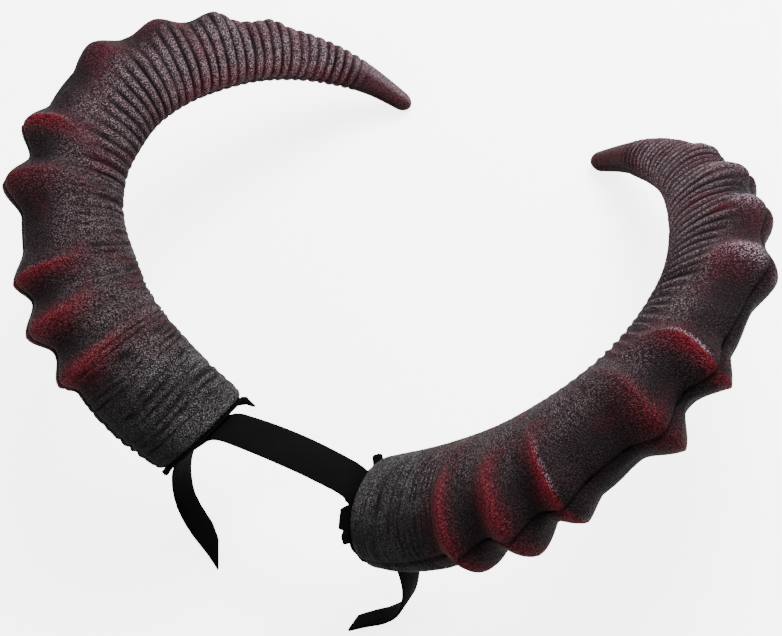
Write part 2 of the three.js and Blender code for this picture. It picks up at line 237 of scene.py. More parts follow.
def knob_lift(share, degrees):
    """How far the knobs lift the skin, in millimetres."""
    lift = np.zeros(np.broadcast(share, degrees).shape)
    flank = fade(degrees, *FLANK)
    for knob in KNOBS:
        crest = ridge_line(knob, degrees)
        fall = knob.fall * (1 - FALL_SHORTENED * knob.crisp * flank)
        away = np.clip(np.abs(share - crest) / np.where(share < crest, knob.rise, fall), 0, 1)
        dome = 0.5 + 0.5 * np.cos(np.pi * away)
        base_power = CREST_POWER + CREST_POWER_FLANK * knob.crisp * flank
        power = np.where(share < crest, base_power, CREST_POWER)
        sharpness = knob.crisp * (CRISP_AT_SEAM + (1 - CRISP_AT_SEAM) * flank)
        bump = dome + ((1 - away) ** power - dome) * sharpness
        round_share = np.clip((degrees - KNOB_TOP) / (knob.reach - KNOB_TOP), 0, 1)
        lift += KNOB_HEIGHT * knob.height * bump * (0.5 + 0.5 * np.cos(np.pi * round_share))
        from_scoop = (share - crest + SCOOP_PLACE * knob.rise) / (SCOOP_LENGTH * knob.rise)
        lift -= knob.scoop * np.exp(-from_scoop ** 2) * span(degrees, *SCOOP_SPAN)
    return lift * (1 - KNOB_SPLIT * np.exp(-(degrees / KNOB_SPLIT_REACH) ** 2))


def skin_points(share, angle):
    """Points of the outer skin in the horn's own axes: along the base axis, into the curl, and up
    from the plane of the curl. angle is 0 at the knobbed edge and pi at the hollow edge."""
    heading = np.radians(HORN_CURL * smooth_column(CURL, share))
    into_tip = np.clip((share - 1) * HORN_LENGTH / TIP_ROUND + 1, 0, 1)
    shrink = np.sqrt(1 - into_tip ** 2)
    cos, sin = np.cos(angle), np.sin(angle)
    half_width = np.where(cos > 0, smooth_column(OUTSIDE, share), smooth_column(INSIDE, share))
    half_width = half_width * HORN_BASE_WIDTH / 2
    half_depth = smooth_column(DEPTH, share) * HORN_BASE_DEPTH / 2
    power = 2 / SECTION_POWER
    lift = knob_lift(share, np.degrees(angle))
    across = np.sign(cos) * np.abs(cos) ** power * half_width * shrink + cos * lift
    deep = np.clip(sin, 0, 1) ** power * half_depth * shrink + sin * lift
    x = np.interp(share, middle_share, middle_x) + np.sin(heading) * across
    y = np.interp(share, middle_share, middle_y) - np.cos(heading) * across
    return np.stack([x, y, SEAM_GAP / 2 + deep], axis=-1)


def unit(vectors):
    return vectors / np.maximum(np.linalg.norm(vectors, axis=-1, keepdims=True), 1e-9)


def outward_ways(grid):
    """The way out of the skin at each point, flat in the plane of the curl along both seams."""
    ways = np.cross(np.gradient(grid, axis=0), np.gradient(grid, axis=1))
    ways[:, 0, 2] = 0
    ways[:, -1, 2] = 0
    return unit(ways)


def rim_sink(share):
    """How far the skin turns in towards the open end, in millimetres."""
    from_rim = np.clip(1 - share * HORN_LENGTH / RIM_ROUND, 0, 1)
    return RIM_ROUND * (1 - np.sqrt(1 - RIM_TURN * from_rim ** 2))


def horn_stations():
    """Shares of the length at which the skin has a row of points, closer on the rounded end."""
    straight = HORN_LENGTH - TIP_ROUND
    even = np.linspace(0, straight, int(straight / STATION_STEP))
    tip = straight + TIP_ROUND * np.sin(np.radians(np.linspace(*TIP_ROWS)))
    return np.concatenate([even, tip]) / HORN_LENGTH


def round_angles(steps, crowding):
    """Angles from the knobbed edge to the hollow edge, crowded at both."""
    even = np.linspace(0, 1, steps + 1)
    return np.pi * (even - crowding * np.sin(2 * np.pi * even) / (2 * np.pi))


class MeshParts:
    """Points and faces gathered for one mesh."""

    def __init__(self):
        self.points = []
        self.faces = []
        self.count = 0

    def add_grid(self, grid):
        """Adds a grid of points and gives back their numbers."""
        flat = grid.reshape(-1, 3)
        numbers = self.count + np.arange(len(flat)).reshape(grid.shape[:-1])
        self.points.append(flat)
        self.count += len(flat)
        return numbers

    def add_point(self, *place):
        """Adds one point and gives back its number."""
        return int(self.add_grid(np.array([place], dtype=float))[0])

    def cover(self, numbers, flip):
        """Quads over a grid of point numbers."""
        a, b = numbers[:-1, :-1], numbers[:-1, 1:]
        c, d = numbers[1:, 1:], numbers[1:, :-1]
        quads = np.stack([a, d, c, b] if flip else [a, b, c, d], axis=-1).reshape(-1, 4)
        self.faces.extend(map(tuple, quads.tolist()))

    def fan(self, row, pole, flip):
        """Triangles from a row of points to one point."""
        for a, b in zip(row[:-1].tolist(), row[1:].tolist()):
            self.faces.append((a, pole, b) if flip else (a, b, pole))

    def bridge(self, first, first_at, second, second_at, flip):
        """Triangles between two rows of points that run side by side at their own spacings."""
        i = j = 0
        while i < len(first) - 1 or j < len(second) - 1:
            step_first = j == len(second) - 1 or (
                i < len(first) - 1 and first_at[i + 1] <= second_at[j + 1])
            if step_first:
                face = (int(first[i]), int(first[i + 1]), int(second[j]))
                i += 1
            else:
                face = (int(first[i]), int(second[j + 1]), int(second[j]))
                j += 1
            self.faces.append(face[::-1] if flip else face)

    def mesh(self, name, placement, mirrored):
        """A Blender mesh of all the parts, moved to its place, in metres."""
        points = np.concatenate(self.points) * MM
        if mirrored:
            points = points * (1, 1, -1)
        place = np.array(placement)
        points = points @ place[:3, :3].T + place[:3, 3]
        faces = [face[::-1] for face in self.faces] if mirrored else self.faces
        mesh = bpy.data.meshes.new(name)
        mesh.from_pydata(points.tolist(), [], faces)
        mesh.update()
        return mesh


def lay_down():
    """From the place on the head to the place on the table."""
    return Matrix.Translation(STAND) @ Matrix.Rotation(-math.radians(LEAN_BACK), 4, "X")


def horn_placement(side):
    """From a horn's own axes to the table. side is -1 for the left horn and 1 for the right."""
    slope = math.radians(SEAT_SLOPE)
    roll = math.radians(HORN_ROLL)
    outward = Vector((side * math.sin(slope), 0, math.cos(slope)))
    up_slope = Vector((-side * math.cos(slope), 0, math.sin(slope)))
    curl_way = Vector((0, math.cos(roll), 0)) + up_slope * math.sin(roll)
    square = outward.cross(curl_way)
    turn = Matrix((outward, curl_way, square)).transposed().to_4x4()
    across, up = HORN_FOOT
    foot = Matrix.Translation((side * across * MM, 0, up * MM))
    return lay_down() @ foot @ turn


def red_paint(share, degrees, hollow_side, dabs):
    """Where the knobs, the hollow side and the tip are brushed red, 0 to 1. hollow_side is the
    strength of the paint on the hollow side, and dabs are the horn's single spots of red."""
    red = np.zeros(share.shape)
    for knob in KNOBS:
        from_crest = share - ridge_line(knob, degrees)
        toward_base, toward_tip = (
            knob.red_width * (plain + more * knob.crisp) for plain, more in (RED_TO_BASE, RED_TO_TIP))
        band = np.exp(-(from_crest / np.where(from_crest < 0, toward_base, toward_tip)) ** 2)
        red = np.maximum(red, knob.red * band * fade(degrees, knob.red_reach, knob.red_reach / 2))
    for at, way_round, strength in dabs:
        far = ((share - at) / DAB_LENGTH) ** 2 + ((degrees - way_round) / DAB_DEGREES) ** 2
        red = np.maximum(red, strength * np.exp(-far))
    trail = fade(degrees, 60, 110) * span(share, 0.09, 0.14, 0.16, 0.21)
    hollow = span(share, 0.52, 0.66, 0.84, 0.93) * span(degrees, 112, 142, 160, 178)
    tip = fade(share, 0.86, 0.95) * span(degrees, 70, 115, 140, 172)
    return np.maximum.reduce([red, TRAIL_RED * trail, hollow_side * hollow, TIP_RED * tip])


def rim_light(share, degrees, frosted):
    """A thin painted highlight on the tip side of the crisp crests, 0 to 1. The last argument is
    the strength of a broader painted sheen on the crests near the tip."""
    line = np.zeros(share.shape)
    for knob in KNOBS:
        from_crest = share - ridge_line(knob, degrees)
        edge = np.exp(-((from_crest - HIGHLIGHT_PLACE) / HIGHLIGHT_WIDTH) ** 2)
        line = np.maximum(line, knob.crisp ** HIGHLIGHT_CRISPNESS * edge * span(degrees, 12, 26, 56, 76))
        if knob.at > SHEEN_START:
            broad = np.exp(-((from_crest - SHEEN_PLACE) / SHEEN_WIDTH) ** 2)
            line = np.maximum(line, frosted * broad * span(degrees, 4, 14, 30, 70))
    return line


def soot_and_shade_paint(share, degrees, red):
    """Where the hollows between knobs and the sides of the seam stay dark, 0 to 1: sooty dark paint
    together with painted shade, strongest on the base side of each knob.
    """
    soot = np.zeros(share.shape)
    for knob in KNOBS:
        from_crest = share - ridge_line(knob, degrees)
        near_seam = fade(degrees, 95, 20) * min(1.0, 0.4 + knob.height)
        for way, slope, (place, length, strength) in (
                (-1, knob.rise, SOOT_AND_SHADE_TO_BASE), (1, knob.fall, SOOT_AND_SHADE_TO_TIP)):
            hollow = np.exp(-((from_crest - way * place * slope) / (length * slope)) ** 2)
            soot = np.maximum(soot, strength * hollow * near_seam)
    outer_edge = fade(degrees, 26, 5) * fade(share, 0.95, 0.85)
    seam = fade(degrees, 7, 2) * fade(share, 0.92, 0.80)
    unpainted = 1 - SOOT_AND_SHADE_UNDER_RED * red
    return np.maximum(np.maximum(KNOB_SOOT_AND_SHADE * soot, EDGE_SOOT_AND_SHADE * outer_edge) * unpainted, SEAM_SOOT_AND_SHADE * seam)


def dust_and_light_paint(share, degrees, look):
    """Where the light grey speckle lies thickest, 0 to 1, or above on a tip that has more of it. It is
    a dusting together with painted light: more on the flank and over the upper side of the tip, and
    thinned as painted shade towards the hollow edge and on the lower side of the tip.
    """
    toward_tip = fade(share, 0.58, 0.78)
    flank = fade(degrees, 38 - 34 * toward_tip, 92 - 50 * toward_tip)
    body = 0.80 + 0.20 * fade(share, 0.12, 0.34)
    # Painted shade: less of the pale speckle towards the hollow edge
    underside_shade = 1 - 0.55 * fade(degrees, 128, 172) * fade(share, 0.30, 0.50)
    end = fade(share, 0.84, 0.91)
    flank = np.maximum(flank, end)
    shaded = 1 - 0.9 * end * fade(degrees, 72, 118)
    middle = 1 - (1 - look.dust) * span(share, look.dust_start, look.dust_start + 0.14, 0.46, 0.62)
    dust = (0.14 + 0.86 * flank) * body * underside_shade * shaded * middle
    return np.clip(dust * (1 + (look.end_dust - 1) * fade(share, 0.86, 0.93)), 0, 1.6)


def rib_mask(share, degrees):
    """Where the hollow side has ribs, 0 to 1. They reach further round near the tip."""
    round_reach = 18 + 82 * fade(share, 0.77, 0.42)
    ribbed = span(share, 0.26, 0.46, 0.89, 0.925) * fade(degrees, round_reach - 22, round_reach + 12)
    return ribbed * (1 - 0.55 * fade(degrees, 148, 176))


def crease_mask(share, degrees, middle):
    """Where the skin is finely creased, 0 to 1. middle is the strength on the middle part."""
    base_part = 0.9 * fade(share, 0.20, 0.13)
    middle_part = middle * span(share, 0.12, 0.24, 0.36, 0.50) * fade(degrees, 50, 100)
    return (base_part + middle_part) * fade(share, 0.004, 0.02)


def set_values(mesh, name, values):
    """Keeps one number or one vector for each point of a mesh under a name."""
    values = np.asarray(values, dtype=np.float32)
    kind, field = ("FLOAT_VECTOR", "vector") if values.ndim == 2 else ("FLOAT", "value")
    attribute = mesh.attributes.new(name, kind, "POINT")
    attribute.data.foreach_set(field, values.ravel())


def give_horn_values(mesh, label, share, degrees, outward, round_run):
    """Keeps what the grooves and the paint need at each point. Points of the skin come first in
    the mesh, and those of the lining get only the sooty dark with painted shade."""
    look = LOOKS[label]
    lining_points = len(mesh.vertices) - share.size

    def keep(name, grid, on_lining=0.0):
        set_values(mesh, name, np.append(grid.ravel(), np.full(lining_points, on_lining)))

    def keep_vectors(name, vectors):
        set_values(mesh, name, np.concatenate([vectors.reshape(-1, 3), np.zeros((lining_points, 3))]))

    ribbed = rib_mask(share, degrees)
    red = red_paint(share, degrees, look.hollow_red, DABS[label])
    even_ribs = look.evenness * ribbed * fade(share, 0.45, 0.60)
    keep("along", share * HORN_LENGTH * MM)
    keep("share", share)
    keep("ribbed", ribbed)
    keep("creased", crease_mask(share, degrees, look.creases))
    keep("red", red)
    # Painted highlights on the crests
    keep("rim_light", look.worn * rim_light(share, degrees, look.frosted))
    # Sooty dark paint together with painted shade
    keep("soot", soot_and_shade_paint(share, degrees, red), on_lining=1.0)
    keep("plain", np.maximum(even_ribs, 0.8 * fade(share, 0.84, 0.92)))
    # Pale speckle: a dusting together with painted light
    keep("dust", dust_and_light_paint(share, degrees, look))
    places = np.stack([share * HORN_LENGTH, round_run, np.zeros_like(share)], axis=-1)
    keep_vectors("skin_place", places * MM)
    keep_vectors("outward", outward)


def horn_mesh(name, label, half):
    """One half of a horn as a closed shell: skin, lining, both seam edges and the rim. half is 1
    above the plane of the curl and -1 below it, in the horn's own axes."""
    share = horn_stations()
    angle = round_angles(ROUND_STEPS, SEAM_CROWDING)
    skin = skin_points(share[:, None], angle[None, :])
    out = outward_ways(skin)

    steps = np.linalg.norm(np.diff(skin, axis=1), axis=2)
    round_run = np.concatenate([np.zeros((len(share), 1)), np.cumsum(steps, axis=1)], axis=1)
    from_seam = np.minimum(round_run, round_run[:, -1:] - round_run)
    sink = SEAM_DEPTH * np.exp(-(from_seam / SEAM_SOFTNESS) ** 2)
    sink *= fade(share, 1.0, SEAM_END)[:, None]
    sink += rim_sink(share)[:, None]
    skin = skin - out * sink[..., None]

    hollow_end = 1 - TIP_SOLID / HORN_LENGTH
    lining_rows = int(HORN_LENGTH * hollow_end / LINING_STEP)
    lining_share = np.linspace(0, hollow_end - LINING_SHORT, lining_rows)
    lining_angle = round_angles(LINING_ROUNDS, 0)
    coarse = skin_points(lining_share[:, None], lining_angle[None, :])
    inward = outward_ways(coarse) * (HORN_WALL + rim_sink(lining_share))[:, None, None]
    inward[0, :, 0] = 0
    lining = coarse - inward

    parts = MeshParts()
    skin_numbers = parts.add_grid(skin)
    lining_numbers = parts.add_grid(lining)
    tip = parts.add_point(middle_x[-1], middle_y[-1], SEAM_GAP / 2)
    hollow_x, hollow_y = (np.interp(hollow_end, middle_share, line) for line in (middle_x, middle_y))
    hollow_tip = parts.add_point(hollow_x, hollow_y, SEAM_GAP / 2)

    parts.cover(skin_numbers, True)
    parts.fan(skin_numbers[-1], tip, True)
    parts.cover(lining_numbers, False)
    parts.fan(lining_numbers[-1], hollow_tip, False)
    outer_at = np.append(share, 1.0)
    inner_at = np.append(lining_share, hollow_end)
    for column, flip in ((0, True), (-1, False)):
        edge = np.append(skin_numbers[:, column], tip)
        back = np.append(lining_numbers[:, column], hollow_tip)
        parts.bridge(edge, outer_at, back, inner_at, flip)
    parts.bridge(skin_numbers[0], angle, lining_numbers[0], lining_angle, False)

    placement = horn_placement(SIDES[label])
    mesh = parts.mesh(name, placement, half < 0)
    outward = (out * (1, 1, half)).reshape(-1, 3) @ np.array(placement)[:3, :3].T
    share_grid, degrees = np.meshgrid(share, np.degrees(angle), indexing="ij")
    give_horn_values(mesh, label, share_grid, degrees, outward, round_run)
    return mesh


def add_node(tree, kind, inputs=None, **settings):
    """A node with its settings, and its inputs linked or set."""
    node = tree.nodes.new(kind)
    for name, value in settings.items():
        setattr(node, name, value)
    for socket, value in (inputs or {}).items():
        target = node.inputs[socket]
        if isinstance(value, bpy.types.NodeSocket):
            tree.links.new(value, target)
        else:
            target.default_value = value
    return node


def calc(tree, operation, *values, clamp=False):
    """A Math node and its result."""
    sockets = dict(enumerate(values))
    return add_node(tree, "ShaderNodeMath", sockets, operation=operation, use_clamp=clamp).outputs[0]


def times(tree, first, second, clamp=False):
    return calc(tree, "MULTIPLY", first, second, clamp=clamp)


def scaled(tree, vector, factor):
    """A vector times a number."""
    sockets = {0: vector, "Scale": factor}
    return add_node(tree, "ShaderNodeVectorMath", sockets, operation="SCALE").outputs[0]


def remap(tree, value, start, end, to_start=0.0, to_end=1.0):
    """A smooth Map Range node and its result."""
    sockets = {"Value": value, 1: start, 2: end, 3: to_start, 4: to_end}
    node = add_node(tree, "ShaderNodeMapRange", sockets, interpolation_type="SMOOTHSTEP")
    return node.outputs["Result"]


def noise(tree, dimensions="3D", **inputs):
    """A Noise Texture node. Its first output is the number, and Color holds three of them."""
    return add_node(tree, "ShaderNodeTexNoise", inputs, noise_dimensions=dimensions)


def mix_colours(tree, amount, underside_shade, over):
    """A Mix node for colours and its result."""
    sockets = {0: amount, 6: underside_shade, 7: over}
    return add_node(tree, "ShaderNodeMix", sockets, data_type="RGBA").outputs[2]


def new_group(kind, name, inputs, outputs):
    """An empty node tree with its sockets, and its two end nodes."""
    tree = bpy.data.node_groups.new(name, kind)
    for way, sockets in (("INPUT", inputs), ("OUTPUT", outputs)):
        for label, socket_kind, *default in sockets:
            socket = tree.interface.new_socket(label, in_out=way, socket_type=socket_kind)
            if default:
                socket.default_value = default[0]
    return tree, tree.nodes.new("NodeGroupInput"), tree.nodes.new("NodeGroupOutput")


FLOAT, VECTOR, COLOUR = "NodeSocketFloat", "NodeSocketVector", "NodeSocketColor"
NATURAL_BASE = math.e
UNEVEN_STEP = 0.7  # how fast the unevenness changes from groove to groove
PATCH_RANGE = (0.36, 0.60)
PATCH_MOST = 1.1
CREST_KEPT = 0.5  # how strongly a crest counts against a groove in the kept name


def transverse_groove_tree():
    """Grooves that run round a horn, at a spacing that shrinks towards the tip."""
    tree, given, result = new_group("GeometryNodeTree", "transverse grooves", (
        ("Geometry", "NodeSocketGeometry"), ("Material", "NodeSocketMaterial"),
        ("Mask name", "NodeSocketString", "ribbed"), ("Kept name", "NodeSocketString", "groove"),
        ("Spacing", FLOAT, 0.01), ("Shrink per metre", FLOAT, -0.8), ("Groove share", FLOAT, 0.25),
        ("Crest share", FLOAT, 0.25), ("Depth", FLOAT, 0.001), ("Crest lift", FLOAT, 0.0003),
        ("Unevenness", FLOAT, 0.3), ("Wander", FLOAT, 0.3), ("Wander scale", FLOAT, 20.0),
        ("Least strength", FLOAT, 0.7), ("Patch scale", FLOAT, 45.0), ("Seed", FLOAT, 1.0),
    ), (("Geometry", "NodeSocketGeometry"),))
    sockets = given.outputs
    seed = sockets["Seed"]

    def named(name, kind="FLOAT"):
        return add_node(tree, "GeometryNodeInputNamedAttribute", {"Name": name}, data_type=kind).outputs[0]

    def minus(first, second):
        return calc(tree, "SUBTRACT", first, second)

    along = named("along")
    inside = calc(tree, "MULTIPLY_ADD", along, sockets["Shrink per metre"], 1.0)
    logarithm = calc(tree, "LOGARITHM", inside, NATURAL_BASE)
    scale = times(tree, sockets["Spacing"], sockets["Shrink per metre"])
    phase = calc(tree, "DIVIDE", logarithm, scale)
    step = calc(tree, "MULTIPLY_ADD", phase, UNEVEN_STEP, seed)
    uneven = noise(tree, "1D", W=step, Scale=1.0, Detail=1.0).outputs[0]
    wander = noise(tree, "4D", W=seed, Scale=sockets["Wander scale"], Detail=2.0).outputs[0]
    uneven = times(tree, minus(uneven, 0.5), sockets["Unevenness"])
    wander = times(tree, minus(wander, 0.5), sockets["Wander"])
    place = calc(tree, "ADD", calc(tree, "ADD", phase, uneven), wander)
    away = calc(tree, "ABSOLUTE", minus(place, calc(tree, "ROUND", place)))
    groove = remap(tree, away, sockets["Groove share"], 0.0)
    crest = remap(tree, away, minus(0.5, sockets["Crest share"]), 0.5)
    patches = noise(tree, "4D", W=seed, Scale=sockets["Patch scale"], Detail=2.0).outputs[0]
    strength = remap(tree, patches, *PATCH_RANGE, sockets["Least strength"], PATCH_MOST)
    mask = times(tree, named(sockets["Mask name"]), strength)
    groove = times(tree, groove, mask)
    crest = times(tree, crest, mask)
    lift = minus(times(tree, crest, sockets["Crest lift"]),
                times(tree, groove, sockets["Depth"]))
    moved = add_node(tree, "GeometryNodeSetPosition", {
        "Geometry": sockets["Geometry"], "Offset": scaled(tree, named("outward", "FLOAT_VECTOR"), lift)})
    kept = add_node(tree, "GeometryNodeStoreNamedAttribute", {
        "Geometry": moved.outputs[0], "Name": sockets["Kept name"],
        "Value": minus(groove, times(tree, crest, CREST_KEPT)),
    }, data_type="FLOAT", domain="POINT")
    whole = add_node(tree, "GeometryNodeRealizeInstances", {"Geometry": kept.outputs[0]})
    painted = add_node(tree, "GeometryNodeSetMaterial", {
        "Geometry": whole.outputs[0], "Material": sockets["Material"]})
    tree.links.new(painted.outputs[0], result.inputs[0])
    return tree


def give_modifier(piece, tree, **values):
    """A Geometry Nodes modifier whose named inputs get these values."""
    modifier = piece.modifiers.new(tree.name, "NODES")
    modifier.node_group = tree
    sockets = {item.name: item.identifier for item in tree.interface.items_tree
               if item.item_type == "SOCKET" and item.in_out == "INPUT"}
    for name, value in values.items():
        modifier[sockets[name.replace("_", " ")]] = value


def freeze(piece):
    """Turns the piece and its modifiers into one plain mesh."""
    bpy.context.view_layer.update()
    graph = bpy.context.evaluated_depsgraph_get()
    mesh = bpy.data.meshes.new_from_object(
        piece.evaluated_get(graph), preserve_all_data_layers=True, depsgraph=graph)
    piece.modifiers.clear()
    piece.data = mesh


def new_object(name, data):
    """An object in the scene, for a mesh, a camera or a light."""
    made = bpy.data.objects.new(name, data)
    bpy.context.scene.collection.objects.link(made)
    return made


def smooth_shading(mesh, sharp_degrees):
    mesh.shade_smooth()
    mesh.set_sharp_from_angle(angle=math.radians(sharp_degrees))


GRAIN_BEND = 0.0006  # metres
CRUMB_SCALE, SPECKLE_SCALE = 1.7, 1.25  # times the scale of the cells
FINE = {"Detail": 3.0, "Roughness": 0.7}
DOME_RANGE = (0.75, 0.05)  # distances from the middle of a cell
DOME_IN_SPECKLE = 0.12
SPECKLE_RANGE = (0.47, 0.68)
SKIN_PATCH_SCALE = 28.0


def grain_group():
    """Leathery grain: rounded cells of one size with finer crumbs on them."""
    tree, given, result = new_group("ShaderNodeTree", "leathery grain", (
        ("Place", VECTOR), ("Cell size", FLOAT, 0.0014), ("Crumble", FLOAT, 0.4),
        ("Stretch", VECTOR, (1.0, 1.0, 1.0)),
    ), (("Height", FLOAT), ("Speckle", FLOAT), ("Patches", FLOAT)))
    place = add_node(tree, "ShaderNodeVectorMath", {
        0: given.outputs["Place"], 1: given.outputs["Stretch"]}, operation="MULTIPLY").outputs[0]
    scale = calc(tree, "DIVIDE", 1.0, given.outputs["Cell size"])
    bend = noise(tree, Vector=place, Scale=scale, Detail=1.0).outputs["Color"]
    bent = add_node(tree, "ShaderNodeVectorMath", {
        0: bend, 1: (GRAIN_BEND, GRAIN_BEND, GRAIN_BEND), 2: place}, operation="MULTIPLY_ADD").outputs[0]
    cells = add_node(tree, "ShaderNodeTexVoronoi", {"Vector": bent, "Scale": scale},
                     feature="F1").outputs["Distance"]
    crumb_scale = times(tree, scale, CRUMB_SCALE)
    crumbs = noise(tree, Vector=place, Scale=crumb_scale, **FINE).outputs[0]
    domes = remap(tree, cells, *DOME_RANGE)
    height = calc(tree, "MULTIPLY_ADD", crumbs, given.outputs["Crumble"], domes)
    speckle_scale = times(tree, scale, SPECKLE_SCALE)
    speckle = noise(tree, Vector=bent, Scale=speckle_scale, **FINE).outputs[0]
    speckle = remap(tree, calc(tree, "MULTIPLY_ADD", domes, DOME_IN_SPECKLE, speckle), *SPECKLE_RANGE)
    patches = noise(tree, Vector=place, Scale=SKIN_PATCH_SCALE, Detail=3.0).outputs[0]
    for name, value in (("Height", height), ("Speckle", speckle), ("Patches", patches)):
        tree.links.new(value, result.inputs[name])
    return tree


def brush_group():
    """Dry brushing: a colour laid on the raised grain where a mask asks for it."""
    tree, given, result = new_group("ShaderNodeTree", "dry brushing", (
        ("Under", COLOUR, (0, 0, 0, 1)), ("Paint", COLOUR, (1, 1, 1, 1)), ("Mask", FLOAT, 0.0),
        ("Grain", FLOAT, 0.5), ("Raggedness", FLOAT, 0.6),
    ), (("Color", COLOUR),))
    sockets = given.outputs
    ragged = times(tree, calc(tree, "SUBTRACT", sockets["Grain"], 0.5), sockets["Raggedness"])
    where_brushed = calc(tree, "MINIMUM", times(tree, sockets["Mask"], 3.0), 1.0)
    ragged = times(tree, ragged, where_brushed)
    amount = calc(tree, "ADD", sockets["Mask"], ragged, clamp=True)
    mixed = mix_colours(tree, amount, sockets["Under"], sockets["Paint"])
    tree.links.new(mixed, result.inputs["Color"])
    return tree


def use_group(tree, group, inputs):
    return add_node(tree, "ShaderNodeGroup", inputs, node_tree=group)


def colour(red, green, blue):
    return (red, green, blue, 1.0)


def new_material(name, **shader_values):
    """A material, its tree and its shader, whose named inputs get these values."""
    material = bpy.data.materials.new(name)
    material.use_nodes = True
    tree = material.node_tree
    shader = tree.nodes["Principled BSDF"]
    for socket, value in shader_values.items():
        shader.inputs[socket.replace("_", " ")].default_value = value
    return material, tree, shader


def ramp(tree, factor, stops):
    """A Color Ramp node through these places and colours, and its result."""
    node = add_node(tree, "ShaderNodeValToRGB", {"Fac": factor})
    elements = node.color_ramp.elements
    while len(elements) < len(stops):
        elements.new(0.5)
    for element, (place, shade) in zip(elements, stops):
        element.position = place
        element.color = colour(*shade)
    return node.outputs["Color"]


def dress(tree, shader, base_colour, roughness, height, strength, distance):
    """Gives a shader its colour, its roughness and a bump."""
    sockets = {"Height": height, "Strength": strength, "Distance": distance}
    bump = add_node(tree, "ShaderNodeBump", sockets).outputs[0]
    for name, value in (("Base Color", base_colour), ("Roughness", roughness), ("Normal", bump)):
        tree.links.new(value, shader.inputs[name])


# Colours of a horn. The two ramps run along the share of its length.
GROUND_COLOURS = (
    (0.00, (0.0085, 0.0082, 0.0088)), (0.13, (0.0095, 0.0074, 0.0082)),
    (0.24, (0.0130, 0.0062, 0.0074)), (0.50, (0.0150, 0.0062, 0.0084)),
    (0.82, (0.0170, 0.0066, 0.0092)), (0.97, (0.0205, 0.0062, 0.0086)),
)
# Colours of the pale speckle, a dusting and painted light together
DUST_AND_LIGHT_COLOURS = (
    (0.05, (0.124, 0.115, 0.120)), (0.22, (0.124, 0.090, 0.098)),
    (0.45, (0.160, 0.110, 0.122)), (0.90, (0.240, 0.172, 0.196)),
)
COOL_PATCH = colour(0.0090, 0.0086, 0.0094)
WARM_PATCH = colour(0.0400, 0.0064, 0.0100)
KNOB_RED = colour(0.100, 0.0062, 0.0120)
# Colour of the painted highlights on the crests
HIGHLIGHT_PALE = colour(0.300, 0.240, 0.280)
# Colour of the painted shade in grooves, creases and hollows, and of the sooty dark
SHADE_AND_SOOT_BLACK = colour(0.0034, 0.0030, 0.0033)
COOL_SHARE, WARM_SHARE = 0.55, 0.6
EVEN_SPECKLE = 0.42  # what the speckle evens out to
RIB_GAIN, RIB_DUST_AND_LIGHT = -1.8, 0.45  # crests are below 0 in the kept groove, and get more of the pale speckle, a dusting and a painted highlight
# Share of the painted highlight colour that is laid on
HIGHLIGHT_SHARE = 0.55
# How far grooves and creases are darkened as painted shade, and the sooty dark with painted shade in the
# hollows
GROOVE_SHADE, CREASE_SHADE, SOOT_AND_SHADE_DARK = 0.72, 0.92, 0.70


